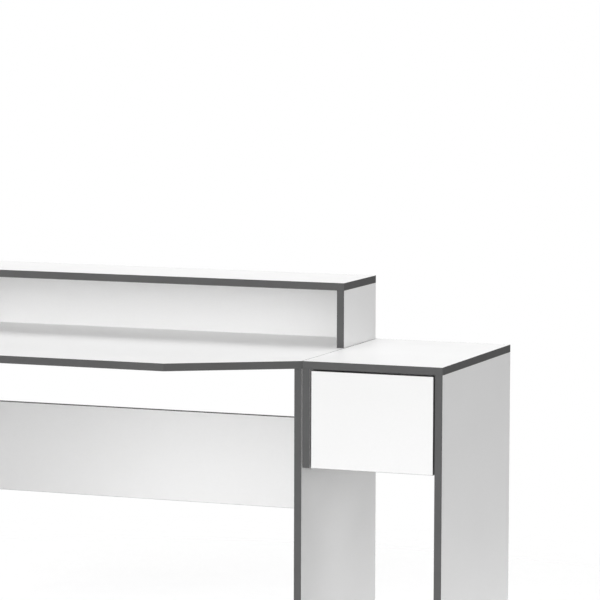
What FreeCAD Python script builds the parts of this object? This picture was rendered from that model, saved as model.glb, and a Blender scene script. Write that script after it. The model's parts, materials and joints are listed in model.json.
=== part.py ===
"""Corner desk in melamine-faced board: a main desk with a cut front corner and a monitor riser,
a side unit with one drawer on roller runners, and a return that turns the corner on the left.

Millimetres, +Z up. The desk is laid out with X = 0 at the joint between the main desk and the
side unit, Y = 0 at the front of the side unit and Z = 0 on the floor. The solids are exported
about the middle of the desk's footprint, on the floor.
"""
import FreeCAD
import Part
import os

X = FreeCAD.Vector(1, 0, 0)
Y = FreeCAD.Vector(0, 1, 0)
Z = FreeCAD.Vector(0, 0, 1)

# Board stock
BOARD = 16.0                    # thickness of every melamine-faced board
BAND = 0.5                      # plastic edge band, part of the board's outside size
THIN_BOARD = 3.0                # hardboard of the riser's back and the drawer's bottom

# Main desk
DESK_HEIGHT = 750.0
MAIN_LENGTH = 1350.0
MAIN_DEPTH = 600.0
END_DEPTH = 450.0               # depth at the side unit, and of the side unit itself
CUT_LENGTH = 243.0              # how much of the front edge the cut corner takes
LEG_DEPTH = 450.0
MODESTY_DROP = 180.5            # desk surface down to the top of a modesty panel
MODESTY_HEIGHT = 201.5

# Monitor riser
RISER_LENGTH = 1000.0
RISER_DEPTH = 197.5
RISER_HEIGHT = 138.0
RISER_SETBACK = 5.5             # from the rear edge of the main top

# Side unit
JOINT_GAP = 2.0                 # spacer thickness between the panels of two modules
TOP_GAP = 0.5                   # between their tops, which reach over the joint
UNIT_WIDTH = 302.5
UNIT_PANEL_HEIGHT = 204.5       # short inner panel and rear panel

# Return
RETURN_LENGTH = 800.0
RETURN_WIDTH = 450.0

# Drawer
FRONT_SIDE_GAP = 3.2
FRONT_TOP_GAP = 3.3
DRAWER_SIDE_HEIGHT = 100.0
DRAWER_SIDE_LENGTH = 360.0
DRAWER_LIFT = 22.5              # lower edge of the drawer side above the lower edge of the front
DRAWER_SIDE_GAP = 12.7          # room for a roller runner on each side
GROOVE_DEPTH = 8.0
GROOVE_LIFT = 12.0

# Roller runner
SHEET = 1.2
RUNNER_LENGTH = 350.0
RUNNER_START = 18.0             # behind the front plane
RUNNER_FLANGE = 9.3             # flange of the cabinet runner
RAIL_WIDTH = 9.8                # flange of the drawer runner that lies on the front roller
RAIL_HEIGHT = 18.0              # underside of that flange above the drawer side's lower edge
RAIL_LIP = 4.0                  # that flange's outer lip, turned down outside the roller
SIDE_SUPPORT = 12.0             # flange that carries the drawer side
ROLLER_RADIUS = 9.0
ROLLER_WIDTH = 6.0
ROLLER_INSET = 13.0             # roller axis from the runner's end
ROLLER_PLAY = 0.3               # gap between a roller and the flange it runs on
ROLLER_END_PLAY = 0.3
CABINET_STANDOFF = 2.1          # roller's side from the cabinet runner's web, past the rail's lip
DRAWER_STANDOFF = 0.4
COLLAR_RADIUS = 3.0
FLANGE_CUTBACK = 28.0           # flanges stop this far short of the end that carries the roller
RIVET_RADIUS = 2.0
RIVET_PLAY = 0.05
RIVET_HEAD_RADIUS = 4.0
RIVET_HEAD = 0.8                # flat enough to pass the heads of the drawer runner's screws

# Fittings
CAM_RADIUS = 7.5
CAM_DEPTH = 12.5
CAM_SETBACK = 34.0              # cam axis from the seam
CAM_CROSS = (9.0, 1.6, 1.8)     # length, width and depth of the screwdriver cross
BOLT_SHANK_RADIUS = 3.0
BOLT_SHANK = 30.0
BOLT_THREAD_RADIUS = 2.5
BOLT_THREAD = 11.0
DOWEL_RADIUS = 4.0
DOWEL_IN_EDGE = 20.0
DOWEL_IN_FACE = 10.0
CAM_FROM_CORNER = 50.0
DOWEL_FROM_CAM = 32.0
GLIDE_RADIUS = 7.5
GLIDE_HEIGHT = 4.0
GLIDE_FOOT_CHAMFER = 1.0
GLIDE_INSET = 40.0
PIN_RADIUS = 1.5
PIN_LENGTH = 12.0
SCREW_RADIUS = 1.75
SCREW_LENGTH = 12.0
SCREW_HEAD_RADIUS = 3.2
SCREW_HEAD = 0.7
RUNNER_SCREW_SHARES = (0.2, 0.5, 0.8)
JOINER_RADIUS = 3.0
JOINER_SLEEVE_RADIUS = 4.0
JOINER_HEAD_RADIUS = 7.0
JOINER_HEAD = 2.0
JOINER_INSET = 120.0            # from the side unit's front and from its rear
JOINER_DROPS = (55.0, 140.0)    # below the desk surface
JOINER_BITE = 8.0               # how far the bolt reaches into its sleeve
SPACER_RADIUS = 10.0
PLATE = (80.0, 40.0, 2.0)       # length across the seam, width, thickness
PLATE_HOLE_INSET = 10.0
PLATE_FROM_END = 60.0
PLATE_FROM_CORNER = 150.0
PLATE_SHARES = (0.25, 0.75)     # of the modesty panels' height
NAIL_RADIUS = 0.8
NAIL_LENGTH = 14.0
NAIL_HEAD_RADIUS = 1.8
NAIL_HEAD = 0.6
NAIL_SHARES = (0.15, 0.5, 0.85)

# Levels and planes worked out from the dimensions above
UNDER_TOP = DESK_HEIGHT - BOARD
REAR = END_DEPTH
MAIN_FRONT = END_DEPTH - MAIN_DEPTH
MODESTY_TOP = DESK_HEIGHT - MODESTY_DROP
MODESTY_BOTTOM = MODESTY_TOP - MODESTY_HEIGHT
RISER_REAR = REAR - RISER_SETBACK
RISER_FRONT = RISER_REAR - RISER_DEPTH
RISER_UNDER_TOP = DESK_HEIGHT + RISER_HEIGHT - BOARD
UNIT_LEFT = JOINT_GAP
MAIN_TOP_RIGHT = (JOINT_GAP - TOP_GAP) / 2
UNIT_TOP_LEFT = MAIN_TOP_RIGHT + TOP_GAP
UNIT_RIGHT = UNIT_LEFT + UNIT_WIDTH
UNIT_MIDDLE = (UNIT_LEFT + UNIT_RIGHT) / 2
UNIT_PANEL_BOTTOM = UNDER_TOP - UNIT_PANEL_HEIGHT
RETURN_REAR = MAIN_FRONT - TOP_GAP
RETURN_FRONT = RETURN_REAR - RETURN_LENGTH
RETURN_RIGHT = RETURN_WIDTH - MAIN_LENGTH
DRAWER_LEFT = UNIT_LEFT + BOARD + DRAWER_SIDE_GAP
DRAWER_RIGHT = UNIT_RIGHT - BOARD - DRAWER_SIDE_GAP
DRAWER_SIDE_BOTTOM = UNIT_PANEL_BOTTOM + DRAWER_LIFT
DRAWER_SIDE_TOP = DRAWER_SIDE_BOTTOM + DRAWER_SIDE_HEIGHT
DRAWER_REAR = BOARD + DRAWER_SIDE_LENGTH
GROOVE_BOTTOM = DRAWER_SIDE_BOTTOM + GROOVE_LIFT
GROOVE_TOP = GROOVE_BOTTOM + THIN_BOARD
RUNNER_END = RUNNER_START + RUNNER_LENGTH
FOOTPRINT_MIDDLE = FreeCAD.Vector((UNIT_RIGHT - MAIN_LENGTH) / 2, (REAR + RETURN_FRONT) / 2, 0)

# Sides of a rectangular board, in the order of its outline
LOW, RIGHT, HIGH, LEFT = range(4)

boards = {}                     # drilled for the fittings before they are exported
fittings = {}                   # node name to its list of solids
bores = []


# ---------------------------------------------------------------- boards and edge bands

def in_space(plane, u, v, w):
    """Point at (u, v) in a board's plane and w through its thickness."""
    return {"xy": FreeCAD.Vector(u, v, w), "yz": FreeCAD.Vector(w, u, v),
            "xz": FreeCAD.Vector(u, w, v)}[plane]


def prism(plane, outline, start, end):
    corners = [in_space(plane, u, v, start) for u, v in outline]
    face = Part.Face(Part.makePolygon(corners + corners[:1]))
    return face.extrude(in_space(plane, 0, 0, end - start))


def rectangle(u0, v0, u1, v1):
    return [(u0, v0), (u1, v0), (u1, v1), (u0, v1)]


def inset_corners(outline, insets):
    """Corners of an anticlockwise outline whose side i is moved inwards by insets[i]."""
    lines = []
    for (u0, v0), (u1, v1), inset in zip(outline, outline[1:] + outline[:1], insets):
        length = ((u1 - u0) ** 2 + (v1 - v0) ** 2) ** 0.5
        normal = ((v0 - v1) / length, (u1 - u0) / length)
        lines.append((normal, normal[0] * u0 + normal[1] * v0 + inset))
    corners = []
    for (m, p), (n, q) in zip(lines[-1:] + lines[:-1], lines):
        turn = m[0] * n[1] - m[1] * n[0]
        corners.append(((p * n[1] - q * m[1]) / turn, (q * m[0] - p * n[0]) / turn))
    return corners


def add_board(name, plane, outline, start, end, banded=(), band_node=None):
    """Board with a mitred plastic band on each banded side of its outline."""
    insets = [BAND if side in banded else 0.0 for side in range(len(outline))]
    core = inset_corners(outline, insets)
    boards[name] = [prism(plane, core, start, end)]
    strips = []
    for side in banded:
        following = (side + 1) % len(outline)
        strip = [outline[side], outline[following], core[following], core[side]]
        strips.append(prism(plane, strip, start, end))
    if strips:
        boards.setdefault(band_node or name + "_edging", []).extend(strips)


# ---------------------------------------------------------------- fittings

def rod(start, direction, length, radius):
    return Part.makeCylinder(radius, length, start, direction)


def bore(start, direction, length, radius):
    bores.append(rod(start, direction, length, radius))


def add_fitting(node, solid):
    fittings.setdefault(node, []).append(solid)


def block(corner, other):
    """Box between two opposite corners."""
    low = FreeCAD.Vector(*[min(a, b) for a, b in zip(corner, other)])
    size = [abs(b - a) for a, b in zip(corner, other)]
    return Part.makeBox(*size, low)


def cam_fitting(seam, into, face, prefix):
    """Cam in the face of one board and its bolt, which is screwed into the next board.

    seam is on the joint at mid-thickness, into points into the board that takes the bolt, and
    face points from mid-thickness to the side where the cam shows.
    """
    axis = seam - into * CAM_SETBACK
    mouth = axis + face * (BOARD / 2)
    cam = rod(mouth, -face, CAM_DEPTH, CAM_RADIUS)
    length, width, depth = CAM_CROSS
    across = face.cross(into)
    for along, side in ((into, across), (across, into)):
        reach = along * (length / 2) + side * (width / 2)
        cam = cam.cut(block(mouth + reach, mouth - reach - face * depth))
    socket = rod(axis, into, CAM_RADIUS, BOLT_SHANK_RADIUS)
    add_fitting(prefix + "cam_housings", cam.cut(socket))
    shank = rod(seam - into * BOLT_SHANK, into, BOLT_SHANK, BOLT_SHANK_RADIUS)
    thread = rod(seam, into, BOLT_THREAD, BOLT_THREAD_RADIUS)
    add_fitting(prefix + "cam_bolts", shank.fuse(thread))
    bore(mouth, -face, CAM_DEPTH, CAM_RADIUS)
    bore(seam - into * BOLT_SHANK, into, BOLT_SHANK, BOLT_SHANK_RADIUS)
    bore(seam, into, BOLT_THREAD, BOLT_THREAD_RADIUS)


def dowel(seam, into, prefix):
    start = seam - into * DOWEL_IN_EDGE
    length = DOWEL_IN_EDGE + DOWEL_IN_FACE
    add_fitting(prefix + "wooden_dowels", rod(start, into, length, DOWEL_RADIUS))
    bore(start, into, length, DOWEL_RADIUS)


def join_edge(start, along, length, into, face):
    """Two cams and two dowels between them, along the edge of one board on the face of another."""
    for end, inwards in ((start, along), (start + along * length, -along)):
        cam_fitting(end + inwards * CAM_FROM_CORNER, into, face, "")
        dowel(end + inwards * (CAM_FROM_CORNER + DOWEL_FROM_CAM), into, "")


def screw(node, head_face, direction):
    """Pan-head screw that lies with its head on head_face and points along direction."""
    head = rod(head_face, -direction, SCREW_HEAD, SCREW_HEAD_RADIUS)
    add_fitting(node, head.fuse(rod(head_face, direction, SCREW_LENGTH, SCREW_RADIUS)))
    bore(head_face, direction, SCREW_LENGTH, SCREW_RADIUS)


def glide(x, y):
    """Nailed plastic glide under a leg."""
    foot = rod(FreeCAD.Vector(x, y, 0), Z, GLIDE_HEIGHT, GLIDE_RADIUS)
    rim = [edge for edge in foot.Edges if edge.BoundBox.ZMax < GLIDE_HEIGHT / 2]
    foot = foot.makeChamfer(GLIDE_FOOT_CHAMFER, rim)
    top = FreeCAD.Vector(x, y, GLIDE_HEIGHT)
    add_fitting("leg_glides", foot.fuse(rod(top, Z, PIN_LENGTH, PIN_RADIUS)))
    bore(top, Z, PIN_LENGTH, PIN_RADIUS)


# ---------------------------------------------------------------- main desk and riser

def main_desk():
    top = [(-MAIN_LENGTH, MAIN_FRONT), (-CUT_LENGTH, MAIN_FRONT), (MAIN_TOP_RIGHT, 0),
           (MAIN_TOP_RIGHT, REAR), (-MAIN_LENGTH, REAR)]
    add_board("main_top", "xy", top, UNDER_TOP, DESK_HEIGHT, range(len(top)))
    legs = (("main_right_leg", -BOARD, REAR - LEG_DEPTH, -X),
            ("main_left_leg", -MAIN_LENGTH, MAIN_FRONT, X))
    for name, left, front, inner in legs:
        add_board(name, "yz", rectangle(front, GLIDE_HEIGHT, REAR, UNDER_TOP), left, left + BOARD,
                  (LOW, RIGHT, LEFT))
        middle = left + BOARD / 2
        join_edge(FreeCAD.Vector(middle, front, UNDER_TOP), Y, REAR - front, Z, inner)
        glide(middle, front + GLIDE_INSET)
        glide(middle, REAR - GLIDE_INSET)
    modesty = rectangle(BOARD - MAIN_LENGTH, MODESTY_BOTTOM, -BOARD, MODESTY_TOP)
    add_board("main_modesty_panel", "xz", modesty, REAR - BOARD, REAR, (LOW, HIGH))
    for end, into in ((-BOARD, X), (BOARD - MAIN_LENGTH, -X)):
        seam = FreeCAD.Vector(end, REAR - BOARD / 2, MODESTY_BOTTOM)
        join_edge(seam, Z, MODESTY_HEIGHT, into, Y)


def riser():
    top = rectangle(-RISER_LENGTH, RISER_FRONT, 0, RISER_REAR)
    add_board("riser_top", "xy", top, RISER_UNDER_TOP, RISER_UNDER_TOP + BOARD, range(len(top)))
    side_depth = RISER_DEPTH - THIN_BOARD
    side = rectangle(RISER_FRONT, DESK_HEIGHT, RISER_FRONT + side_depth, RISER_UNDER_TOP)
    for name, left, inner in (("riser_left_side", -RISER_LENGTH, X), ("riser_right_side", -BOARD, -X)):
        add_board(name, "yz", side, left, left + BOARD, (LEFT,), "riser_sides_edging")
        front = FreeCAD.Vector(left + BOARD / 2, RISER_FRONT, RISER_UNDER_TOP)
        foot = FreeCAD.Vector(left + BOARD / 2, RISER_FRONT, DESK_HEIGHT)
        for seam, into in ((front, Z), (foot, -Z)):
            cam_fitting(seam + Y * (side_depth / 2), into, inner, "")
            dowel(seam + Y * (side_depth / 4), into, "")
            dowel(seam + Y * (side_depth * 3 / 4), into, "")
        for share in NAIL_SHARES:
            height = DESK_HEIGHT + share * (RISER_UNDER_TOP - DESK_HEIGHT)
            nail(FreeCAD.Vector(left + BOARD / 2, RISER_REAR, height))
    back = rectangle(-RISER_LENGTH, DESK_HEIGHT, 0, RISER_UNDER_TOP)
    add_board("riser_back", "xz", back, RISER_REAR - THIN_BOARD, RISER_REAR)


def nail(point):
    """Nail that is driven forwards from the back."""
    head = rod(point, Y, NAIL_HEAD, NAIL_HEAD_RADIUS)
    add_fitting("riser_back_nails", head.fuse(rod(point, -Y, NAIL_LENGTH, NAIL_RADIUS)))
    bore(point, -Y, NAIL_LENGTH, NAIL_RADIUS)


# ---------------------------------------------------------------- side unit

def side_unit():
    top = rectangle(UNIT_TOP_LEFT, 0, UNIT_RIGHT, REAR)
    add_board("unit_top", "xy", top, UNDER_TOP, DESK_HEIGHT, range(len(top)))
    panels = (("unit_inner_panel", UNIT_LEFT, UNIT_PANEL_BOTTOM, X),
              ("unit_leg", UNIT_RIGHT - BOARD, GLIDE_HEIGHT, -X))
    for name, left, bottom, inner in panels:
        add_board(name, "yz", rectangle(0, bottom, REAR, UNDER_TOP), left, left + BOARD,
                  (LOW, RIGHT, LEFT))
        join_edge(FreeCAD.Vector(left + BOARD / 2, 0, UNDER_TOP), Y, REAR, Z, inner)
    glide(UNIT_RIGHT - BOARD / 2, GLIDE_INSET)
    glide(UNIT_RIGHT - BOARD / 2, REAR - GLIDE_INSET)
    back = rectangle(UNIT_LEFT + BOARD, UNIT_PANEL_BOTTOM, UNIT_RIGHT - BOARD, UNDER_TOP)
    add_board("unit_back_panel", "xz", back, REAR - BOARD, REAR, (LOW,))
    for end, into in ((UNIT_LEFT + BOARD, -X), (UNIT_RIGHT - BOARD, X)):
        seam = FreeCAD.Vector(end, REAR - BOARD / 2, UNIT_PANEL_BOTTOM)
        join_edge(seam, Z, UNIT_PANEL_HEIGHT, into, Y)


def module_joiners():
    """Sleeve bolts and spacers that hold the side unit against the main desk's right leg."""
    for y in (JOINER_INSET, REAR - JOINER_INSET):
        for drop in JOINER_DROPS:
            seat = FreeCAD.Vector(UNIT_LEFT + BOARD, y, DESK_HEIGHT - drop)
            head = rod(seat, X, JOINER_HEAD, JOINER_HEAD_RADIUS)
            reach = BOARD + JOINT_GAP + JOINER_BITE
            bolt = head.fuse(rod(seat, -X, reach, JOINER_RADIUS))
            add_fitting("joining_bolts", bolt)
            bore(seat, -X, BOARD, JOINER_RADIUS)
            seat = FreeCAD.Vector(-BOARD, y, DESK_HEIGHT - drop)
            head = rod(seat, -X, JOINER_HEAD, JOINER_HEAD_RADIUS)
            sleeve = head.fuse(rod(seat, X, BOARD, JOINER_SLEEVE_RADIUS))
            add_fitting("joining_sleeves", sleeve.cut(rod(seat, X, BOARD, JOINER_RADIUS)))
            bore(seat, X, BOARD, JOINER_SLEEVE_RADIUS)
            seat = FreeCAD.Vector(0, y, DESK_HEIGHT - drop)
            spacer = rod(seat, X, JOINT_GAP, SPACER_RADIUS)
            add_fitting("gap_spacers", spacer.cut(rod(seat, X, JOINT_GAP, JOINER_RADIUS)))


# ---------------------------------------------------------------- return

def desk_return():
    cut_depth = MAIN_DEPTH - END_DEPTH
    top = [(-MAIN_LENGTH, RETURN_FRONT), (RETURN_RIGHT, RETURN_FRONT),
           (RETURN_RIGHT, RETURN_REAR - cut_depth), (RETURN_RIGHT + CUT_LENGTH, RETURN_REAR),
           (-MAIN_LENGTH, RETURN_REAR)]
    add_board("return_top", "xy", top, UNDER_TOP, DESK_HEIGHT, range(len(top)))
    leg = rectangle(-MAIN_LENGTH, GLIDE_HEIGHT, RETURN_RIGHT, UNDER_TOP)
    add_board("return_leg", "xz", leg, RETURN_FRONT, RETURN_FRONT + BOARD, (LOW, RIGHT, LEFT))
    middle = RETURN_FRONT + BOARD / 2
    join_edge(FreeCAD.Vector(-MAIN_LENGTH, middle, UNDER_TOP), X, RETURN_WIDTH, Z, Y)
    glide(GLIDE_INSET - MAIN_LENGTH, middle)
    glide(RETURN_RIGHT - GLIDE_INSET, middle)
    modesty = rectangle(RETURN_FRONT + BOARD, MODESTY_BOTTOM, RETURN_REAR, MODESTY_TOP)
    add_board("return_modesty_panel", "yz", modesty, -MAIN_LENGTH, BOARD - MAIN_LENGTH,
              (LOW, RIGHT, HIGH))
    seam = FreeCAD.Vector(BOARD / 2 - MAIN_LENGTH, RETURN_FRONT + BOARD, MODESTY_BOTTOM)
    join_edge(seam, Z, MODESTY_HEIGHT, -Y, X)


def connecting_plate(middle, up, across):
    """Flat plate over the seam between the return and the main desk, with its four screws.

    middle is on the boards' face, up points into the boards and across lies along the seam.
    """
    length, width, thickness = PLATE
    reach = Y * (length / 2) + across * (width / 2)
    plate = block(middle - reach, middle + reach - up * thickness)
    for along in (PLATE_HOLE_INSET - length / 2, length / 2 - PLATE_HOLE_INSET):
        for aside in (PLATE_HOLE_INSET - width / 2, width / 2 - PLATE_HOLE_INSET):
            seat = middle + Y * along + across * aside - up * thickness
            plate = plate.cut(rod(seat, up, thickness, SCREW_RADIUS))
            screw("plate_screws", seat, up)
    add_fitting("connecting_plates", plate)


def corner_plates():
    seam = (MAIN_FRONT + RETURN_REAR) / 2
    middle = (RETURN_RIGHT - MAIN_LENGTH) / 2
    for x in (PLATE_FROM_END - MAIN_LENGTH, middle + PLATE_FROM_CORNER,
              RETURN_RIGHT + PLATE_FROM_CORNER):
        connecting_plate(FreeCAD.Vector(x, seam, UNDER_TOP), Z, X)
    for share in PLATE_SHARES:
        height = MODESTY_BOTTOM + share * MODESTY_HEIGHT
        connecting_plate(FreeCAD.Vector(BOARD - MAIN_LENGTH, seam, height), -X, Z)


# ---------------------------------------------------------------- drawer

def drawer():
    front_left = UNIT_LEFT + BOARD + FRONT_SIDE_GAP
    front_right = UNIT_RIGHT - BOARD - FRONT_SIDE_GAP
    front = rectangle(front_left, UNIT_PANEL_BOTTOM, front_right, UNDER_TOP - FRONT_TOP_GAP)
    add_board("drawer_front", "xz", front, 0, BOARD, range(len(front)))
    side = rectangle(BOARD, DRAWER_SIDE_BOTTOM, DRAWER_REAR, DRAWER_SIDE_TOP)
    middle_height = (DRAWER_SIDE_BOTTOM + DRAWER_SIDE_TOP) / 2
    sides = (("drawer_left_side", DRAWER_LEFT, -X), ("drawer_right_side", DRAWER_RIGHT - BOARD, X))
    for name, left, outer in sides:
        add_board(name, "yz", side, left, left + BOARD, (HIGH, RIGHT), "drawer_box_edging")
        seam = FreeCAD.Vector(left + BOARD / 2, BOARD, middle_height)
        cam_fitting(seam, -Y, outer, "drawer_")
        dowel(seam + Z * (DRAWER_SIDE_HEIGHT / 4), -Y, "drawer_")
        seam = FreeCAD.Vector(left + BOARD / 2, DRAWER_REAR - BOARD / 2, middle_height)
        seam = seam - outer * (BOARD / 2)
        cam_fitting(seam, outer, Y, "drawer_")
        dowel(seam + Z * (DRAWER_SIDE_HEIGHT / 4), outer, "drawer_")
    back = rectangle(DRAWER_LEFT + BOARD, GROOVE_TOP, DRAWER_RIGHT - BOARD, DRAWER_SIDE_TOP)
    add_board("drawer_back", "xz", back, DRAWER_REAR - BOARD, DRAWER_REAR, (HIGH,), "drawer_box_edging")
    add_drawer_bottom()


def add_drawer_bottom():
    """Thin bottom that slides in grooves of the front and the sides, under the back."""
    left = DRAWER_LEFT + BOARD - GROOVE_DEPTH
    right = DRAWER_RIGHT - BOARD + GROOVE_DEPTH
    panel = block((left, BOARD - GROOVE_DEPTH, GROOVE_BOTTOM), (right, DRAWER_REAR, GROOVE_TOP))
    add_fitting("drawer_bottom", panel)
    bores.append(panel)


# ---------------------------------------------------------------- roller runners

def mirrored(solid):
    """The same solid on the right-hand side of the side unit."""
    return solid.mirror(FreeCAD.Vector(UNIT_MIDDLE, 0, 0), X)


def add_pair(node, solid):
    add_fitting(node + "_left", solid)
    add_fitting(node + "_right", mirrored(solid))


def roller_on_rivet(node, seat, outwards, standoff):
    """Roller that turns on a shouldered rivet; seat is where the rivet leaves the sheet."""
    start = seat + outwards * standoff
    roller = rod(start, outwards, ROLLER_WIDTH, ROLLER_RADIUS)
    hole = rod(start, outwards, ROLLER_WIDTH, RIVET_RADIUS + RIVET_PLAY)
    add_pair(node + "_roller", roller.cut(hole))
    shank_length = standoff + ROLLER_WIDTH + ROLLER_END_PLAY
    shank = rod(seat, outwards, shank_length, RIVET_RADIUS)
    head = rod(seat + outwards * shank_length, outwards, RIVET_HEAD, RIVET_HEAD_RADIUS)
    collar = rod(seat, outwards, standoff - ROLLER_END_PLAY, COLLAR_RADIUS)
    rivet = shank.fuse([head, collar])
    for solid in (rivet, mirrored(rivet)):
        add_fitting(node + "_roller_rivets", solid)


def runner_screws(node, x, direction, height):
    """Screws through the left and the right runner; returns their holes in the left one."""
    holes = []
    for share in RUNNER_SCREW_SHARES:
        seat = FreeCAD.Vector(x, RUNNER_START + share * RUNNER_LENGTH, height)
        opposite = FreeCAD.Vector(2 * UNIT_MIDDLE - x, seat.y, height)
        screw(node, seat, direction)
        screw(node, opposite, -direction)
        holes.append(rod(seat, direction, SHEET, SCREW_RADIUS))
    return holes


def cabinet_runner():
    """Channel on the cabinet's side: a web, two flanges and the roller at its front."""
    web = UNIT_LEFT + BOARD
    low = DRAWER_SIDE_BOTTOM - ROLLER_PLAY - SHEET
    high = DRAWER_SIDE_BOTTOM + RAIL_HEIGHT + SHEET + ROLLER_END_PLAY
    channel = block((web, RUNNER_START, low), (web + SHEET, RUNNER_END, high + SHEET))
    flange_start = RUNNER_START + FLANGE_CUTBACK
    for bottom in (low, high):
        flange = block((web + SHEET, flange_start, bottom),
                       (web + SHEET + RUNNER_FLANGE, RUNNER_END, bottom + SHEET))
        channel = channel.fuse(flange)
    middle = DRAWER_SIDE_BOTTOM + ROLLER_RADIUS
    channel = channel.cut(runner_screws("cabinet_runner_screws", web + SHEET, -X, middle))
    add_pair("cabinet_runner", channel.removeSplitter())
    axis_height = DRAWER_SIDE_BOTTOM + RAIL_HEIGHT - ROLLER_PLAY - ROLLER_RADIUS
    seat = FreeCAD.Vector(web + SHEET, RUNNER_START + ROLLER_INSET, axis_height)
    roller_on_rivet("cabinet", seat, X, CABINET_STANDOFF)


def drawer_runner():
    """Angle under the drawer's side, with the rail that lies on the cabinet's roller."""
    web = DRAWER_LEFT - SHEET
    low = DRAWER_SIDE_BOTTOM - SHEET
    rail = DRAWER_SIDE_BOTTOM + RAIL_HEIGHT
    angle = block((web, RUNNER_START, low), (DRAWER_LEFT, RUNNER_END, rail + SHEET))
    support = block((web, RUNNER_START, low), (web + SIDE_SUPPORT, RUNNER_END, low + SHEET))
    rail_end = RUNNER_END - FLANGE_CUTBACK
    flange = block((web - RAIL_WIDTH, RUNNER_START, rail), (web, rail_end, rail + SHEET))
    lip = block((web - RAIL_WIDTH, RUNNER_START, rail - RAIL_LIP),
                (web - RAIL_WIDTH + SHEET, rail_end, rail + SHEET))
    angle = angle.fuse([support, flange, lip])
    middle = DRAWER_SIDE_BOTTOM + ROLLER_RADIUS
    angle = angle.cut(runner_screws("drawer_runner_screws", web, X, middle))
    add_pair("drawer_runner", angle.removeSplitter())
    seat = FreeCAD.Vector(web, RUNNER_END - ROLLER_INSET, middle)
    roller_on_rivet("drawer", seat, -X, DRAWER_STANDOFF)


# ---------------------------------------------------------------- export

def drilled(solid):
    touching = [cutter for cutter in bores if cutter.BoundBox.intersect(solid.BoundBox)]
    return solid.cut(touching) if touching else solid


def export(name, solids):
    whole = Part.makeCompound([part for solid in solids for part in solid.Solids])
    whole.translate(-FOOTPRINT_MIDDLE)
    whole.exportStep("parts/" + name + ".step")


def main():
    os.makedirs("parts", exist_ok=True)
    main_desk()
    riser()
    side_unit()
    module_joiners()
    desk_return()
    corner_plates()
    drawer()
    cabinet_runner()
    drawer_runner()
    for name, solids in boards.items():
        export(name, [drilled(solid) for solid in solids])
    for name, solids in fittings.items():
        export(name, solids)
    print(len(boards) + len(fittings), "nodes")


main()
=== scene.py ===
"""Looks of the corner desk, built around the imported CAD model.

Boards, cams, dowels and other plain fittings are the CAD nodes with finer materials and eased
edges. Edge bands, runners, rollers, rivets, screws and sleeve bolts are modelled here in more
detail and stand for their CAD nodes. The cover caps over the cams are extra pieces.
"""
import json
import math
from collections import Counter

import bmesh
import bpy
from mathutils import Matrix, Vector
from mathutils.bvhtree import BVHTree

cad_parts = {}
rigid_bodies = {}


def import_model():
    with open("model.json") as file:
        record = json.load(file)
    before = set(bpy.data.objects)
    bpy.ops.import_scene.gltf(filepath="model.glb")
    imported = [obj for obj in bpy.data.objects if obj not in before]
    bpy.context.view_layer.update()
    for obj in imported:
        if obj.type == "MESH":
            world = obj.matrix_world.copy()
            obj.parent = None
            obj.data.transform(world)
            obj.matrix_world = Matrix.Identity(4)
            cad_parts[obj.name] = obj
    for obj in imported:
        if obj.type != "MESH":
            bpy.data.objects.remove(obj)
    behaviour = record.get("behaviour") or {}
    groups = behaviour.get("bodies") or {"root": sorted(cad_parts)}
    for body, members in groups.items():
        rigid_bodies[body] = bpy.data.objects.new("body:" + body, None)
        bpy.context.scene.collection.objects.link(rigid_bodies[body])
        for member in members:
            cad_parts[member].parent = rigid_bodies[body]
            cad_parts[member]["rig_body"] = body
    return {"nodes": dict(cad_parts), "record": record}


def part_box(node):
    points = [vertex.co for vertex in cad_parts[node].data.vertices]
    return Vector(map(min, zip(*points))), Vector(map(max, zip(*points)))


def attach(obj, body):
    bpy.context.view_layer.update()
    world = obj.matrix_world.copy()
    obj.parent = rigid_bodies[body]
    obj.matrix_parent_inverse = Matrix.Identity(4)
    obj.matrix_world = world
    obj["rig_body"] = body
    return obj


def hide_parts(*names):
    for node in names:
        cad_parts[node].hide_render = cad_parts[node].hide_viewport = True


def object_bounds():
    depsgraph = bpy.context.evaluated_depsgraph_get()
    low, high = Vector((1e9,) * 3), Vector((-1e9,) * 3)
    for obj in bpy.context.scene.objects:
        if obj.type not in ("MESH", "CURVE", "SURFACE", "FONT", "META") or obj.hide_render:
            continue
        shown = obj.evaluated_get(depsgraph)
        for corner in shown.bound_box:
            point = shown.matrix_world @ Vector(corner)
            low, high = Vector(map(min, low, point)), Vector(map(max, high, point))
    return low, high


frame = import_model()
CAD_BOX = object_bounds()

NODES = frame["nodes"]
MM = 0.001
WELD = 0.01 * MM                # corners closer than this are one corner

# Camera
CAMERA_PLACE = Vector((2.99475, -6.14275, 1.563))
CAMERA_YAW = math.radians(21.171)
CAMERA_PITCH = math.radians(5.7285)
CAMERA_ROLL = math.radians(0.171)
LENS = 202.3                    # mm, on a sensor SENSOR_WIDTH mm wide
SENSOR_WIDTH = 36.0
FARTHEST_SEEN = 100.0

# Light: name, azimuth and elevation it comes from, its apparent width (degrees), strength
SUNS = (("front_key", -8.0, 12.0, 40.0, 1.45),
        ("left_fill", -75.0, 30.0, 50.0, 0.6),
        ("overhead", 180.0, 78.0, 60.0, 2.05),
        ("backdrop", 201.0, 8.0, 40.0, 0.3),
        ("rear_right", 148.0, 15.0, 40.0, 0.88),
        ("front_right", 35.0, 15.0, 40.0, 0.65))
AMBIENT = 0.16
FLOOR_GLOW = 0.03
FLOOR_RADIUS = 2.6
FLOOR_FADE = 1.2                # the floor thins out to the white backdrop over this width
FLOOR_DROP = 0.2 * MM           # how far below the glides the floor lies


# ------------------------------------------------------------------ material building blocks

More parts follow.
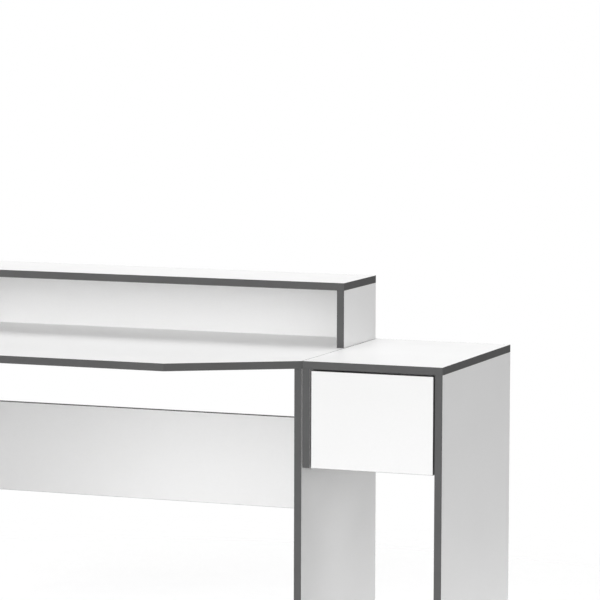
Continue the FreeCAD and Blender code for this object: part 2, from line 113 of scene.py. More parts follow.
class Look:
    """One material: a Principled shader and the procedural textures that feed it."""

    def __init__(self, name, roughness, metallic=0.0):
        self.material = bpy.data.materials.new(name)
        self.material.use_nodes = True
        self.tree = self.material.node_tree
        self.surface = self.tree.nodes["Principled BSDF"]
        self.coords = self.tree.nodes.new("ShaderNodeTexCoord")
        self.surface.inputs["Roughness"].default_value = roughness
        self.surface.inputs["Metallic"].default_value = metallic
        self.height = None

    def put(self, socket, value):
        if isinstance(value, bpy.types.NodeSocket):
            self.tree.links.new(value, socket)
        else:
            socket.default_value = value

    def place(self, stretch):
        """Object coordinates, stretched differently along each axis."""
        mapping = self.tree.nodes.new("ShaderNodeMapping")
        self.put(mapping.inputs["Vector"], self.coords.outputs["Object"])
        mapping.inputs["Scale"].default_value = stretch
        return mapping.outputs["Vector"]

    def noise(self, scale, detail=2.0, roughness=0.5, stretch=(1, 1, 1), distortion=0.0):
        node = self.tree.nodes.new("ShaderNodeTexNoise")
        self.put(node.inputs["Vector"], self.place(stretch))
        node.inputs["Scale"].default_value = scale
        node.inputs["Detail"].default_value = detail
        node.inputs["Roughness"].default_value = roughness
        node.inputs["Distortion"].default_value = distortion
        return node.outputs["Fac"]

    def cells(self, scale):
        """Small cells, each of one colour that has nothing to do with its neighbours'."""
        node = self.tree.nodes.new("ShaderNodeTexVoronoi")
        self.put(node.inputs["Vector"], self.place((1, 1, 1)))
        node.inputs["Scale"].default_value = scale
        return node.outputs["Color"]

    def levels(self, value, low, high, to_low=0.0, to_high=1.0):
        """Stretches value's range from low to high over the range from to_low to to_high."""
        node = self.tree.nodes.new("ShaderNodeMapRange")
        settings = (value, low, high, to_low, to_high)
        for socket, setting in zip(node.inputs, settings):
            self.put(socket, setting)
        return node.outputs["Result"]

    def calc(self, operation, first, second=0.0):
        node = self.tree.nodes.new("ShaderNodeMath")
        node.operation = operation
        self.put(node.inputs[0], first)
        self.put(node.inputs[1], second)
        return node.outputs["Value"]

    def blend(self, share, first, second):
        """Colour from first to second by share."""
        node = self.tree.nodes.new("ShaderNodeMix")
        node.data_type = "RGBA"
        self.put(node.inputs["Factor"], share)
        colours = [socket for socket in node.inputs if socket.type == "RGBA"]
        for socket, colour in zip(colours, (first, second)):
            self.put(socket, colour)
        return next(socket for socket in node.outputs if socket.type == "RGBA")

    def facing(self, axis):
        """How squarely the surface faces along one of the object's axes, either way, 0 to 1."""
        split = self.tree.nodes.new("ShaderNodeSeparateXYZ")
        self.put(split.inputs[0], self.coords.outputs["Normal"])
        return self.calc("ABSOLUTE", split.outputs[axis])

    def colour(self, value):
        self.put(self.surface.inputs["Base Color"], value)

    def rough(self, value):
        self.put(self.surface.inputs["Roughness"], value)

    def bump(self, height, depth, strength=1.0):
        """Adds one more layer of relief, depth metres high."""
        node = self.tree.nodes.new("ShaderNodeBump")
        node.inputs["Strength"].default_value = strength
        node.inputs["Distance"].default_value = depth
        self.put(node.inputs["Height"], height)
        if self.height is not None:
            self.put(node.inputs["Normal"], self.height)
        self.height = node.outputs["Normal"]
        self.put(self.surface.inputs["Normal"], self.height)


def grey(level, warmth=0.0):
    """Linear grey; warmth above 0 takes a little blue out."""
    return (level * (1 + warmth / 2), level, level * (1 - warmth), 1.0)


# ------------------------------------------------------------------ materials

def melamine(axis):
    """White melamine-faced chipboard whose faces look along axis; cut edges show the chips."""
    look = Look("white_melamine_" + axis.lower(), 0.4)
    cloud = look.noise(3.0, 3.0)
    fibre = look.noise(160.0, 4.0, 0.6)
    white = look.blend(look.levels(cloud, 0.35, 0.65), grey(0.865), grey(0.85, 0.002))
    white = look.blend(look.levels(fibre, 0.3, 0.7, 0.0, 0.5), white, grey(0.835, 0.002))
    tone = look.noise(900.0, 3.0, 0.65)
    chips = look.blend(look.levels(tone, 0.3, 0.7), (0.50, 0.37, 0.23, 1), (0.27, 0.18, 0.10, 1))
    split = look.tree.nodes.new("ShaderNodeSeparateColor")
    look.put(split.inputs[0], look.cells(330.0))
    chips = look.blend(look.calc("MULTIPLY", split.outputs[0], 0.55), chips, (0.66, 0.53, 0.36, 1))
    sealed = look.levels(look.facing(axis), 0.35, 0.5)
    look.colour(look.blend(sealed, chips, white))
    smudge = look.levels(look.noise(9.0, 5.0, 0.62), 0.35, 0.75, 0.34, 0.46)
    raw = look.calc("SUBTRACT", 1.0, sealed)
    look.rough(look.calc("ADD", smudge, look.calc("MULTIPLY", raw, 0.4)))
    look.bump(look.noise(1400.0, 2.0, 0.55), 0.025 * MM, 0.5)
    look.bump(look.noise(26.0, 2.0), 0.06 * MM, 0.35)
    look.bump(look.calc("MULTIPLY", raw, look.noise(420.0, 4.0, 0.7)), 0.5 * MM, 0.8)
    look.surface.inputs["Specular IOR Level"].default_value = 0.2
    return look.material


def edge_band(name, level, roughness):
    """Anthracite plastic edge band with a fine pearl grain and faint scuffs."""
    look = Look(name, roughness)
    cloud = look.levels(look.noise(11.0, 4.0, 0.6), 0.3, 0.7)
    base = look.blend(cloud, grey(level), grey(level * 1.1, -0.01))
    fleck = look.levels(look.noise(1900.0, 2.0, 0.6), 0.62, 0.8, 0.0, 0.5)
    base = look.blend(fleck, base, grey(level * 1.6))
    scuff = look.levels(look.noise(38.0, 6.0, 0.7, (1, 1, 7)), 0.66, 0.76, 0.0, 0.35)
    look.colour(look.blend(scuff, base, grey(level * 2.0)))
    look.rough(look.levels(look.noise(60.0, 4.0, 0.6), 0.3, 0.7, roughness - 0.05, roughness + 0.07))
    look.bump(look.noise(1500.0, 2.0, 0.6), 0.03 * MM, 0.6)
    look.bump(look.noise(90.0, 3.0), 0.05 * MM, 0.3)
    look.surface.inputs["Specular IOR Level"].default_value = 0.04
    return look.material


def hardboard():
    """White-lacquered hardboard: smooth lacquer over a fine fibre felt. Its white is set brighter than the
    melamine's as painted light, lifting the shaded back panel of the riser.
    """
    look = Look("white_hardboard", 0.45)
    felt = look.noise(240.0, 5.0, 0.65, (1, 1, 1), 0.6)
    # brighter white than the melamine: painted light on the riser's shaded back panel
    white = look.blend(look.levels(felt, 0.3, 0.7), grey(0.925), grey(0.9, 0.003))
    cloud = look.levels(look.noise(5.0, 3.0), 0.3, 0.7, 0, 0.4)
    look.colour(look.blend(cloud, white, grey(0.91, 0.002)))
    look.rough(look.levels(felt, 0.25, 0.75, 0.4, 0.55))
    look.bump(felt, 0.05 * MM, 0.5)
    look.bump(look.noise(1200.0, 2.0), 0.02 * MM, 0.4)
    return look.material


def powder_coat():
    """White powder coat on sheet steel, with its orange-peel surface."""
    look = Look("white_powder_coat", 0.35)
    peel = look.noise(650.0, 2.0, 0.4)
    look.colour(look.blend(look.levels(peel, 0.35, 0.65), grey(0.80), grey(0.77, 0.01)))
    look.rough(look.levels(look.noise(30.0, 5.0, 0.65, (1, 0.15, 1)), 0.55, 0.8, 0.3, 0.48))
    look.bump(peel, 0.04 * MM, 0.5)
    look.surface.inputs["Coat Weight"].default_value = 0.15
    look.surface.inputs["Coat Roughness"].default_value = 0.2
    return look.material


def moulded(name, level, roughness, grain):
    """Moulded plastic with flow marks and a sparked tool surface."""
    look = Look(name, roughness)
    flow = look.noise(70.0, 3.0, 0.5, (1, 1, 1), 1.5)
    look.colour(look.blend(look.levels(flow, 0.3, 0.7), grey(level, 0.015), grey(level * 0.92, 0.03)))
    look.rough(look.levels(look.noise(300.0, 3.0), 0.3, 0.7, roughness - 0.06, roughness + 0.08))
    look.bump(look.noise(grain, 3.0, 0.6), 0.03 * MM, 0.5)
    return look.material


def zinc_plate():
    """Bright zinc plate with a faint warm and cool passivation tint."""
    look = Look("zinc_plated_steel", 0.3, 1.0)
    tint = look.levels(look.noise(120.0, 3.0, 0.6), 0.35, 0.65)
    look.colour(look.blend(tint, (0.66, 0.68, 0.71, 1), (0.72, 0.70, 0.64, 1)))
    look.rough(look.levels(look.noise(500.0, 4.0, 0.65), 0.3, 0.7, 0.22, 0.42))
    look.bump(look.noise(900.0, 3.0, 0.6, (1, 1, 0.2)), 0.02 * MM, 0.4)
    return look.material


def die_cast():
    """Die-cast zinc: dull, a little darker where the metal froze first."""
    look = Look("die_cast_zinc", 0.45, 0.9)
    frost = look.noise(330.0, 5.0, 0.7)
    look.colour(look.blend(look.levels(frost, 0.35, 0.65), grey(0.55), grey(0.42, 0.02)))
    look.rough(look.levels(frost, 0.25, 0.75, 0.36, 0.58))
    look.bump(frost, 0.05 * MM, 0.6)
    return look.material


def beech():
    """Beech with its short medullary flecks."""
    look = Look("beech", 0.6)
    ring = look.noise(260.0, 4.0, 0.6, (1, 1, 0.25), 1.0)
    wood = look.blend(look.levels(ring, 0.3, 0.7), (0.56, 0.37, 0.20, 1), (0.42, 0.25, 0.12, 1))
    fleck = look.levels(look.noise(1300.0, 2.0, 0.5, (1, 1, 0.3)), 0.6, 0.75, 0, 0.6)
    look.colour(look.blend(fleck, wood, (0.30, 0.16, 0.07, 1)))
    look.bump(ring, 0.08 * MM, 0.5)
    return look.material


def make_materials():
    made = {"melamine_" + axis: melamine(axis) for axis in "XYZ"}
    made["anthracite_edging"] = edge_band("anthracite_edge_band", 0.106, 0.62)
    # The arris copy is a shade lighter than the band: a painted highlight on the rounded edges.
    made["edge_arris"] = edge_band("anthracite_edge_band_arris_painted_highlight", 0.112, 0.58)
    made["white_hardboard"] = hardboard()
    made["white_steel"] = powder_coat()
    made["roller_nylon"] = moulded("roller_nylon", 0.72, 0.38, 1200.0)
    made["cover_cap"] = moulded("cover_cap_plastic", 0.85, 0.42, 900.0)
    made["glide_plastic"] = moulded("glide_plastic", 0.05, 0.45, 900.0)
    made["spacer_plastic"] = moulded("spacer_plastic", 0.30, 0.5, 900.0)
    made["cast_zinc"] = die_cast()
    made["zinc_plated_steel"] = zinc_plate()
    made["beech_dowel"] = beech()
    return made


# ------------------------------------------------------------------ mesh building blocks

RIM_SHARE = 0.95                # corners this far out, as a share of the farthest, are on the head's rim


def welded(node):
    """A CAD node's mesh as a bmesh whose corners are joined up."""
    source = NODES[node].data
    clean = bpy.data.meshes.new("clean")
    clean.from_pydata([v.co for v in source.vertices], [], [p.vertices for p in source.polygons])
    shape = bmesh.new()
    shape.from_mesh(clean)
    bpy.data.meshes.remove(clean)
    bmesh.ops.remove_doubles(shape, verts=shape.verts, dist=WELD)
    bmesh.ops.dissolve_limit(shape, angle_limit=math.radians(0.5), verts=shape.verts, edges=shape.edges)
    return shape


def finish_mesh(shape, name, smooth_angle=35.0):
    """Object from a bmesh, smooth except at edges sharper than smooth_angle."""
    bmesh.ops.recalc_face_normals(shape, faces=shape.faces)
    mesh = bpy.data.meshes.new(name)
    shape.to_mesh(mesh)
    shape.free()
    mesh.polygons.foreach_set("use_smooth", [True] * len(mesh.polygons))
    mesh.set_sharp_from_angle(angle=math.radians(smooth_angle))
    piece = bpy.data.objects.new(name, mesh)
    bpy.context.scene.collection.objects.link(piece)
    return piece


def stand_for(piece, nodes, slot_name, *materials):
    """Gives a new piece its materials, and puts it in the place of its CAD nodes."""
    for material in materials:
        piece.data.materials.append(material)
    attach(piece, NODES[nodes[0]]["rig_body"])
    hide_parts(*nodes)


def lathe(profile, segments, closed=False):
    """Solid of revolution about Z through (radius, z) points; radius 0 closes an end.

    A closed profile comes back to its first point, as on a ring.
    """
    shape = bmesh.new()
    rings = []
    for radius, z in profile:
        if radius == 0:
            rings.append([shape.verts.new((0, 0, z))])
            continue
        turns = [2 * math.pi * i / segments for i in range(segments)]
        rings.append([shape.verts.new((radius * math.cos(t), radius * math.sin(t), z)) for t in turns])
    pairs = list(zip(rings, rings[1:]))
    if closed:
        pairs.append((rings[-1], rings[0]))
    for low, high in pairs:
        for i in range(segments):
            j = (i + 1) % segments
            corners = [low[i % len(low)], low[j % len(low)], high[j % len(high)], high[i % len(high)]]
            unique = list(dict.fromkeys(corners))
            if len(unique) > 2:
                shape.faces.new(unique)
    return shape


def prism(outline, low, high):
    """Upright prism over a list of (x, y) points, used only as a cutter."""
    shape = bmesh.new()
    base = [shape.verts.new((x, y, low)) for x, y in outline]
    lid = [shape.verts.new((x, y, high)) for x, y in outline]
    shape.faces.new(base)
    shape.faces.new(lid)
    for i in range(len(outline)):
        j = (i + 1) % len(outline)
        shape.faces.new((base[i], base[j], lid[j], lid[i]))
    return shape


def regular(sides, radius):
    """Corners of a regular polygon, as (x, y) points."""
    turns = [2 * math.pi * i / sides for i in range(sides)]
    return [(radius * math.cos(t), radius * math.sin(t)) for t in turns]


def bar(low, high):
    """Box between two corners as a bmesh, used only as a cutter."""
    shape = bmesh.new()
    size = [b - a for a, b in zip(low, high)]
    middle = [(a + b) / 2 for a, b in zip(low, high)]
    bmesh.ops.create_cube(shape, size=1.0, matrix=Matrix.Translation(middle) @ Matrix.Diagonal((*size, 1)))
    return shape


def carve(shape, cutter):
    """Takes cutter out of shape; both are bmeshes, and the result is a new one."""
    body = finish_mesh(shape, "carved")
    tool = finish_mesh(cutter, "cutter")
    cut = body.modifiers.new("cut", "BOOLEAN")
    cut.object = tool
    cut.solver = "EXACT"
    cut.use_self = True
    bpy.context.view_layer.update()
    result = body.evaluated_get(bpy.context.evaluated_depsgraph_get())
    mesh = bpy.data.meshes.new_from_object(result)
    left = bmesh.new()
    left.from_mesh(mesh)
    for thing in (body, tool):
        bpy.data.objects.remove(thing)
    bpy.data.meshes.remove(mesh)
    return left


def box_of(corners):
    """Lowest and highest corner of the box around some points."""
    return Vector(map(min, *corners)), Vector(map(max, *corners))


def solids_of(node):
    """The separate solids of a CAD node as lists of corners, always in the same order."""
    shape = welded(node)
    seen = set()
    solids = []
    for first in shape.verts:
        if first in seen:
            continue
        seen.add(first)
        stack = [first]
        corners = []
        while stack:
            vert = stack.pop()
            corners.append(vert.co.copy())
            fresh = [e.other_vert(vert) for e in vert.link_edges if e.other_vert(vert) not in seen]
            seen.update(fresh)
            stack.extend(fresh)
        solids.append(corners)
    shape.free()
    return sorted(solids, key=lambda corners: tuple(round(x, 5) for x in box_of(corners)[0]))


def aimed(place, axis, sign):
    """Matrix that takes a piece drawn along +Z to place, pointing along an axis or, at -1, against it."""
    direction = Vector((0, 0, 0))
    direction[axis] = sign
    turn = Vector((0, 0, 1)).rotation_difference(direction)
    return Matrix.Translation(place) @ turn.to_matrix().to_4x4()


def seat_of(corners):
    """Matrix that puts a fastener drawn along +Z, head below 0, where a headed CAD one lies."""
    low, high = box_of(corners)
    middle = (low + high) / 2
    axis = max(range(3), key=lambda i: high[i] - low[i])

    def reach(corner):
        away = corner - middle
        away[axis] = 0
        return away.length

    widest = max(reach(c) for c in corners)
    head = [c[axis] for c in corners if reach(c) > RIM_SHARE * widest]
    sign = 1.0 if sum(head) / len(head) < middle[axis] else -1.0
    seat = middle.copy()
    seat[axis] = max(head) if sign > 0 else min(head)
    return aimed(seat, axis, sign)


def repeat(template, places):
    """Copies of a bmesh at each matrix, in one bmesh; the first one is used up."""
    mesh = bpy.data.meshes.new("template")
    template.to_mesh(mesh)
    template.free()
    whole = bmesh.new()
    for place in places:
        copy = mesh.copy()
        copy.transform(place)
        whole.from_mesh(copy)
        bpy.data.meshes.remove(copy)
    bpy.data.meshes.remove(mesh)
    return whole


# ------------------------------------------------------------------ boards and edge bands

EDGE_EASE = 0.15 * MM
LONGEST_CHORD = 6.0 * MM        # of the straight stretches that round holes are made of
FLAT_SLOTS = ("white_melamine", "white_hardboard")
FLAT_NODES = ("connecting_plates", "gap_spacers")
BAND_ROUND = 0.35 * MM
SHORTEST_ARRIS = 17.0 * MM      # a little more than a band is wide
PROBE_LIFT = 0.3 * MM           # how far off a band's face the search for a board starts
PROBE_REACH = 0.6 * MM          # and how far it goes
SLIVER_SHARE = 0.05             # faces smaller than this share of the largest one are slivers


def thin_axis(low, high):
    """The axis along which a box is thinnest: 0, 1 or 2."""
    return min(range(3), key=lambda i: high[i] - low[i])


def shade(mesh, smooth):
    """Drops the normals stored with a CAD mesh, which don't fit once its corners are joined."""
    stored = mesh.attributes.get("custom_normal")
    if stored:
        mesh.attributes.remove(stored)
    mesh.polygons.foreach_set("use_smooth", [smooth] * len(mesh.polygons))


def join_corners(obj):
    """Joins the CAD mesh's corners, which come apart at every edge."""
    weld = obj.modifiers.new("join_corners", "WELD")
    weld.merge_threshold = WELD


def mark_straight_edges(mesh):
    """Marks the straight edges of a board for the bevel, but not the rims of its holes.

    The CAD mesh comes apart at every edge of its solid, so those edges have one face each.
    """
    faces_at = Counter(key for face in mesh.polygons for key in face.edge_keys)
    marks = mesh.attributes.new("bevel_weight_edge", "FLOAT", "EDGE")
    for edge in mesh.edges:
        ends = [mesh.vertices[i].co for i in edge.vertices]
        outline = faces_at[edge.key] == 1
        if outline and (ends[1] - ends[0]).length > LONGEST_CHORD:
            marks.data[edge.index].value = 1.0


def ease_edges(obj, flat):
    """Takes the sharpness off an object's edges, on flat ones all but the rims of holes."""
    bevel = obj.modifiers.new("eased_edges", "BEVEL")
    bevel.width = EDGE_EASE
    bevel.segments = 2
    bevel.harden_normals = not flat
    if flat:
        mark_straight_edges(obj.data)
        bevel.limit_method = "WEIGHT"
    else:
        bevel.limit_method = "ANGLE"
        bevel.angle_limit = math.radians(40)


def dress_cad_nodes(materials, slots):
    """Materials and eased edges for the CAD nodes that stay."""
    for node, obj in NODES.items():
        if obj.hide_render:
            continue
        slot_name = slots[node]
        obj.data.materials.clear()
        if slot_name == "white_melamine":
            obj.data.materials.append(materials["melamine_" + "XYZ"[thin_axis(*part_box(node))]])
        else:
            obj.data.materials.append(materials[slot_name])
        flat = node in FLAT_NODES or slot_name in FLAT_SLOTS
        shade(obj.data, smooth=not flat)
        join_corners(obj)
        ease_edges(obj, flat)


def boards_of(band_node, slots):
    """The boards that an edging node lies on: those it touches."""
    band_low, band_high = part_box(band_node)
    found = []
    for node in NODES:
        if slots[node] != "white_melamine":
            continue
        low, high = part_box(node)
        if all(low[i] < band_high[i] + WELD and band_low[i] < high[i] + WELD for i in range(3)):
            found.append(node)
    return found


def search_tree(node):
    """A CAD node's surface, ready to be searched for the point nearest to another."""
    shape = welded(node)
    tree = BVHTree.FromBMesh(shape)
    shape.free()
    return tree


def outer_faces(band, boards):
    """The faces of an edge band that no board lies against, slivers left out."""
    largest = max(face.calc_area() for face in band.faces)
    outer = set()
    for face in band.faces:
        probe = face.calc_center_median() + face.normal * PROBE_LIFT
        clear = all(board.find_nearest(probe, PROBE_REACH)[0] is None for board in boards)
        if clear and face.calc_area() > SLIVER_SHARE * largest:
            outer.add(face)
    return outer


def long_arrises(band, outer):
    """The long sharp edges of an edge band that an outer face borders on."""
    found = []
    for edge in band.edges:
        faces = edge.link_faces
        if len(faces) != 2 or faces[0].normal.dot(faces[1].normal) > 0.5:
            continue
        if outer.intersection(faces) and edge.calc_length() > SHORTEST_ARRIS:
            found.append(edge)
    return found


def rounded_bands(materials, slots):
    """Edge bands whose outer corners are rounded, as a trimming machine leaves them."""
    for node in [n for n in NODES if slots[n] == "anthracite_edging"]:
        boards = [search_tree(board) for board in boards_of(node, slots)]
        shape = welded(node)
        shape.normal_update()
        arrises = long_arrises(shape, outer_faces(shape, boards))
        bmesh.ops.bevel(shape, geom=arrises, offset=BAND_ROUND, offset_type="OFFSET", segments=3,
                        profile=0.5, affect="EDGES", clamp_overlap=True, material=1)
        piece = finish_mesh(shape, node.replace("_edging", "_edge_band"), 50.0)
        for face in piece.data.polygons:
            face.use_smooth = face.material_index == 1
        # the rounded arris faces take the lighter band copy, a painted highlight
        stand_for(piece, [node], "anthracite_edging",
                  materials["anthracite_edging"], materials["edge_arris"])


# ------------------------------------------------------------------ screws, bolts and rivets

def millimetres(profile):
    """A profile drawn in millimetres, in the frame's metres."""
    return [(radius * MM, z * MM) for radius, z in profile]


def crossed(length, width, low, high):
    """The two cutters of a cross recess, its sizes in millimetres."""
    half, side = length / 2 * MM, width / 2 * MM
    return [bar((-half, -side, low * MM), (half, side, high * MM)),
            bar((-side, -half, low * MM), (side, half, high * MM))]


def headed(node, profile, segments, recess):
    """Headed fasteners, one for each solid of a CAD node; recess is a list of cutters."""
    template = lathe(millimetres(profile), segments)
    for cutter in recess:
        template = carve(template, cutter)
    return repeat(template, [seat_of(corners) for corners in solids_of(node)])


def pan_head_screws(materials):
    """Pan head screws whose thread is a row of ridges."""
    pitch = 1.2
    profile = [(0, -0.7), (1.2, -0.68), (2.2, -0.56), (2.8, -0.4), (3.1, -0.2), (3.2, -0.04), (3.15, 0),
               (1.75, 0), (1.75, 0.5)]
    for turn in range(8):
        start = 0.7 + turn * pitch
        profile += [(1.25, start), (1.25, start + 0.45), (1.75, start + 0.75), (1.75, start + 0.85)]
    profile += [(1.25, 10.6), (0.5, 11.8), (0, 12.0)]
    for node in ("plate_screws", "cabinet_runner_screws", "drawer_runner_screws"):
        screws = headed(node, profile, 28, crossed(3.4, 0.75, -1.0, 0.5))
        stand_for(finish_mesh(screws, node.replace("screws", "pan_head_screws")), [node],
                  "zinc_plated_steel", materials["zinc_plated_steel"])


def joining_fittings(materials):
    """Sleeve bolts between the modules: a bolt with a hexagon socket and its slotted sleeve."""
    head = [(0, -2.0), (5.6, -2.0), (6.3, -1.85), (6.8, -1.4), (7.0, -0.8), (7.0, -0.15), (6.85, 0)]
    bolt = head + [(3.0, 0), (3.0, 25.6), (2.6, 26.0), (0, 26.0)]
    socket = prism([(x * MM, y * MM) for x, y in regular(6, 2.6)], -2.2 * MM, 0.8 * MM)
    piece = finish_mesh(headed("joining_bolts", bolt, 48, [socket]), "joining_bolts_socket_head")
    stand_for(piece, ["joining_bolts"], "zinc_plated_steel", materials["zinc_plated_steel"])
    sleeve = head + [(4.0, 0), (4.0, 15.8), (3.8, 16.0), (3.0, 16.0), (3.0, 0.6), (0, 0.6)]
    piece = finish_mesh(headed("joining_sleeves", sleeve, 48, crossed(7.0, 1.3, -2.2, -0.6)),
                        "joining_sleeves_cross_head")
    stand_for(piece, ["joining_sleeves"], "zinc_plated_steel", materials["zinc_plated_steel"])


def mouth_of(corners, boards):
    """Matrix that puts a cap drawn on Z = 0 over the open end of a cam housing."""
    low, high = box_of(corners)
    middle = (low + high) / 2
    board_low, board_high = next(box for box in boards if contains(box, middle))
    axis = thin_axis(board_low, board_high)
    sign = 1.0 if high[axis] > board_high[axis] - WELD else -1.0
    mouth = middle.copy()
    mouth[axis] = high[axis] if sign > 0 else low[axis]
    return aimed(mouth, axis, sign)


def contains(box, point):
    return all(low < at < high for low, at, high in zip(box[0], point, box[1]))


def cover_caps(materials, slots):
    """White caps over the cams, except on the rear faces that stand against a wall."""
    profile = [(0, 0), (8.4, 0), (8.6, 0.15), (8.5, 0.4), (8.1, 0.62), (7.4, 0.7), (6.8, 0.64), (0, 0.6)]
    thickness = max(z for radius, z in profile) * MM
    boards = [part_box(node) for node in NODES if slots[node] == "white_melamine"]
    for node in ("cam_housings", "drawer_cam_housings"):
        places = []
        for corners in solids_of(node):
            place = mouth_of(corners, boards)
            if (place @ Vector((0, 0, thickness))).y < CAD_BOX[1].y:
                places.append(place)
        shape = repeat(lathe(millimetres(profile), 48), places)
        caps = finish_mesh(shape, node.replace("housings", "cover_caps"))
        caps.data.materials.append(materials["cover_cap"])
        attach(caps, NODES[node]["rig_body"])


def roller_rivets(materials):
    """Rivets with a domed head, each with a collar of its own length at the far end."""
    head = 0.8
    for node, collar in (("cabinet_roller_rivets", 1.8), ("drawer_roller_rivets", 0.1)):
        low, high = box_of(solids_of(node)[0])
        length = (high.x - low.x) / MM - head
        profile = [(0, -head), (1.6, -0.76), (2.8, -0.6), (3.6, -0.36), (4.0, -0.1), (3.95, 0), (2.0, 0),
                   (2.0, length - collar), (3.0, length - collar), (3.0, length), (0, length)]
        piece = finish_mesh(headed(node, profile, 32, []), node.replace("rivets", "domed_rivets"))
        stand_for(piece, [node], "zinc_plated_steel", materials["zinc_plated_steel"])


# ------------------------------------------------------------------ rollers and runners

SHEET = 1.2 * MM
SHEET_BEND = 1.1 * MM           # radius of the sheet's middle line at a bend
BEND_STEPS = 6
DEBURRING = 0.12 * MM
FLANGE_CUTBACK = 28.0 * MM
RAIL_WIDTH = 9.8 * MM
RAIL_LIP = 4.0 * MM
CUT_REACH = 2.0 * MM            # how far a hole's cutter goes on each side of the web's middle
HALF_ROUND_STEPS = 12
# Holes that no screw uses: share of the runner's length, then width and length (mm)
FREE_HOLES = ((0.1, 5.0, 5.0), (0.27, 4.5, 11.0), (0.36, 5.0, 5.0), (0.43, 4.5, 11.0), (0.6, 5.0, 5.0),
              (0.68, 4.5, 11.0), (0.88, 5.0, 5.0))


def rollers(materials):
    """Moulded rollers: crowned tread, recessed web and hub."""
    half = [(2.05, -3.0), (3.5, -3.0), (3.8, -2.8), (3.9, -2.5), (3.95, -1.7), (4.2, -1.5), (6.5, -1.5),
            (6.75, -1.7), (6.8, -2.6), (7.0, -2.9), (7.3, -3.0), (8.3, -3.0), (8.65, -2.85), (8.85, -2.5),
            (8.95, -1.8), (9.0, -0.6)]
    section = half + [(radius, -z) for radius, z in reversed(half)]
    for name in ("cabinet_roller_left", "cabinet_roller_right", "drawer_roller_left", "drawer_roller_right"):
        shape = lathe(millimetres(section), 64, closed=True)
        low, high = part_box(name)
        shape.transform(Matrix.Translation((low + high) / 2) @ Matrix.Rotation(math.pi / 2, 4, "Y"))
        piece = finish_mesh(shape, name.replace("roller", "moulded_roller"), 30.0)
        stand_for(piece, [name], "roller_nylon", materials["roller_nylon"])


def bent_sheet(path, thickness, bend, start, end):
    """Sheet metal along an (x, z) path of its middle line, with rounded bends, from y start to y end."""
    line = [Vector(path[0])]
    for before, corner, after in zip(path, path[1:], path[2:]):
        corner = Vector(corner)
        into = (corner - Vector(before)).normalized()
        out = (Vector(after) - corner).normalized()
        centre = corner - into * bend + out * bend
        for step in range(BEND_STEPS + 1):
            turn = math.pi / 2 * step / BEND_STEPS
            line.append(centre + (into * math.sin(turn) - out * math.cos(turn)) * bend)
    line.append(Vector(path[-1]))
    shape = bmesh.new()
    rows = []
    for i, point in enumerate(line):
        along = (line[min(i + 1, len(line) - 1)] - line[max(i - 1, 0)]).normalized()
        across = Vector((-along.y, along.x)) * (thickness / 2)
        sides = (point + across, point - across)
        rows.append([shape.verts.new((p.x, y, p.y)) for y in (start, end) for p in sides])
    for row, after in zip(rows, rows[1:]):
        for i, j in ((0, 1), (1, 3), (3, 2), (2, 0)):
            shape.faces.new((row[i], row[j], after[j], after[i]))
    for row in (rows[0], rows[-1]):
        shape.faces.new((row[0], row[1], row[3], row[2]))
    return shape


def slot_cutter(x0, x1, y, z, width, length):
    """Cutter for an oblong hole along Y through sheet between x0 and x1."""
    reach = max(length - width, 0.0) / 2
    outline = []
    for side, offset in ((1, reach), (-1, -reach)):
        for step in range(HALF_ROUND_STEPS + 1):
            turn = -math.pi / 2 + math.pi * step / HALF_ROUND_STEPS
            outline.append((width / 2 * math.sin(turn) * side, offset + width / 2 * math.cos(turn) * side))
    shape = prism(outline, 0.0, x1 - x0)
    shape.transform(Matrix.Translation((x0, y, z)) @ Matrix.Rotation(math.pi / 2, 4, "Y"))
    return shape


def finish_runner(shape, name, node, materials):
    """The left runner, and the right one as its mirror image."""
    centre = (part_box(node + "_left")[0].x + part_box(node + "_right")[1].x) / 2
    mirror = Matrix.Translation((2 * centre, 0, 0)) @ Matrix.Diagonal((-1, 1, 1, 1))
    other = shape.copy()
    other.transform(mirror)
    for side, half in (("_left", shape), ("_right", other)):
        piece = finish_mesh(half, name + side, 30.0)
        bevel = piece.modifiers.new("deburred", "BEVEL")
        bevel.width = DEBURRING
        bevel.segments = 2
        bevel.limit_method = "ANGLE"
        bevel.angle_limit = math.radians(50)
        stand_for(piece, [node + side], "white_steel", materials["white_steel"])


def runner_holes(shape, low, high, web):
    """A runner with its free holes and slots cut through the web at x = web."""
    z = (low.z + high.z) / 2
    for share, width, length in FREE_HOLES:
        y = low.y + share * (high.y - low.y)
        cutter = slot_cutter(web - CUT_REACH, web + CUT_REACH, y, z, width * MM, length * MM)
        shape = carve(shape, cutter)
    return shape


def cabinet_channels(materials):
    """Channels in the cabinet, open towards the drawer; the flanges are cut back at the front."""
    low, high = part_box("cabinet_runner_left")
    web = low.x + SHEET / 2
    top, bottom = high.z - SHEET / 2, low.z + SHEET / 2
    path = [(high.x, top), (web, top), (web, bottom), (high.x, bottom)]
    channel = bent_sheet(path, SHEET, SHEET_BEND, low.y, high.y)
    notch = bar((low.x + SHEET, low.y - MM, low.z - MM), (high.x + MM, low.y + FLANGE_CUTBACK, high.z + MM))
    channel = runner_holes(carve(channel, notch), low, high, web)
    finish_runner(channel, "cabinet_channel", "cabinet_runner", materials)


def drawer_rails(materials):
    """Rails under the drawer's sides; the upper flange and its lip are cut back at the rear."""
    low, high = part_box("drawer_runner_left")
    lip, web = low.x + SHEET / 2, low.x + RAIL_WIDTH + SHEET / 2
    top, bottom = high.z - SHEET / 2, low.z + SHEET / 2
    path = [(lip, high.z - SHEET - RAIL_LIP), (lip, top), (web, top), (web, bottom), (high.x, bottom)]
    angle = bent_sheet(path, SHEET, SHEET_BEND, low.y, high.y)
    notch = bar((low.x - MM, high.y - FLANGE_CUTBACK, low.z - MM),
                (web - SHEET / 2, high.y + MM, high.z + MM))
    angle = runner_holes(carve(angle, notch), low, high, web)
    finish_runner(angle, "drawer_rail", "drawer_runner", materials)


# ------------------------------------------------------------------ scene

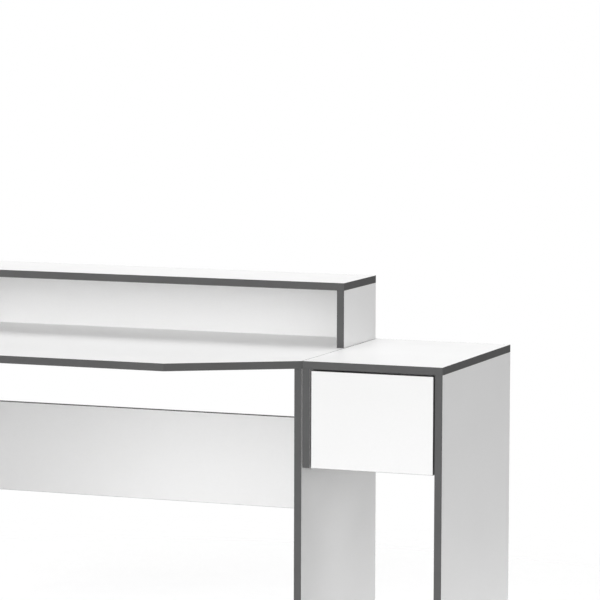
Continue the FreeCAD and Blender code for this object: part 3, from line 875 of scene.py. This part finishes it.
def add_camera():
    data = bpy.data.cameras.new("camera")
    data.lens = LENS
    data.sensor_width = SENSOR_WIDTH
    data.clip_end = FARTHEST_SEEN
    camera = bpy.data.objects.new("camera", data)
    bpy.context.scene.collection.objects.link(camera)
    turn = Matrix.Rotation(CAMERA_YAW, 4, "Z") @ Matrix.Rotation(math.pi / 2 - CAMERA_PITCH, 4, "X")
    camera.matrix_world = Matrix.Translation(CAMERA_PLACE) @ turn @ Matrix.Rotation(CAMERA_ROLL, 4, "Z")
    bpy.context.scene.camera = camera


def add_sun(name, azimuth, elevation, width, strength):
    """Distant light; azimuth 0 is in front of the desk and 90 is on its right."""
    data = bpy.data.lights.new(name, "SUN")
    data.angle = math.radians(width)
    data.energy = strength
    light = bpy.data.objects.new(name, data)
    turn = Matrix.Rotation(math.radians(azimuth), 4, "Z")
    light.matrix_world = turn @ Matrix.Rotation(math.radians(90 - elevation), 4, "X")
    bpy.context.scene.collection.objects.link(light)


def add_world():
    """White backdrop for the camera, and a weaker even light for everything else."""
    world = bpy.data.worlds.new("studio")
    bpy.context.scene.world = world
    world.use_nodes = True
    nodes = world.node_tree.nodes
    links = world.node_tree.links
    ambient = nodes["Background"]
    ambient.inputs["Color"].default_value = (1, 1, 1, 1)
    ambient.inputs["Strength"].default_value = AMBIENT
    seen = nodes.new("ShaderNodeBackground")
    seen.inputs["Color"].default_value = (1, 1, 1, 1)
    seen.inputs["Strength"].default_value = 1.0
    path = nodes.new("ShaderNodeLightPath")
    mix = nodes.new("ShaderNodeMixShader")
    links.new(path.outputs["Is Camera Ray"], mix.inputs[0])
    links.new(ambient.outputs[0], mix.inputs[1])
    links.new(seen.outputs[0], mix.inputs[2])
    links.new(mix.outputs[0], nodes["World Output"].inputs["Surface"])


def add_floor():
    """Round white floor, part of the studio only, that thins out to nothing at its edge."""
    look = Look("studio_floor", 0.85)
    look.colour(grey(0.9))
    look.surface.inputs["Emission Color"].default_value = (1, 1, 1, 1)
    look.surface.inputs["Emission Strength"].default_value = FLOOR_GLOW
    away = look.tree.nodes.new("ShaderNodeVectorMath")
    away.operation = "LENGTH"
    look.put(away.inputs[0], look.coords.outputs["Object"])
    fade = look.levels(away.outputs["Value"], FLOOR_RADIUS - FLOOR_FADE, FLOOR_RADIUS, 1.0, 0.0)
    look.put(look.surface.inputs["Alpha"], fade)
    shape = bmesh.new()
    bmesh.ops.create_circle(shape, cap_ends=True, segments=96, radius=FLOOR_RADIUS)
    floor = finish_mesh(shape, "studio_floor")
    floor.data.materials.append(look.material)
    floor.location.z = CAD_BOX[0].z - FLOOR_DROP


def add_studio():
    add_camera()
    add_world()
    add_floor()
    for sun in SUNS:
        add_sun(*sun)
    bpy.context.scene.view_settings.view_transform = "Standard"


def main():
    slots = {row["node"]: row["material_slot"] for row in frame["record"]["subparts"]}
    materials = make_materials()
    rounded_bands(materials, slots)
    pan_head_screws(materials)
    joining_fittings(materials)
    cover_caps(materials, slots)
    roller_rivets(materials)
    rollers(materials)
    cabinet_channels(materials)
    drawer_rails(materials)
    dress_cad_nodes(materials, slots)
    add_studio()


main()
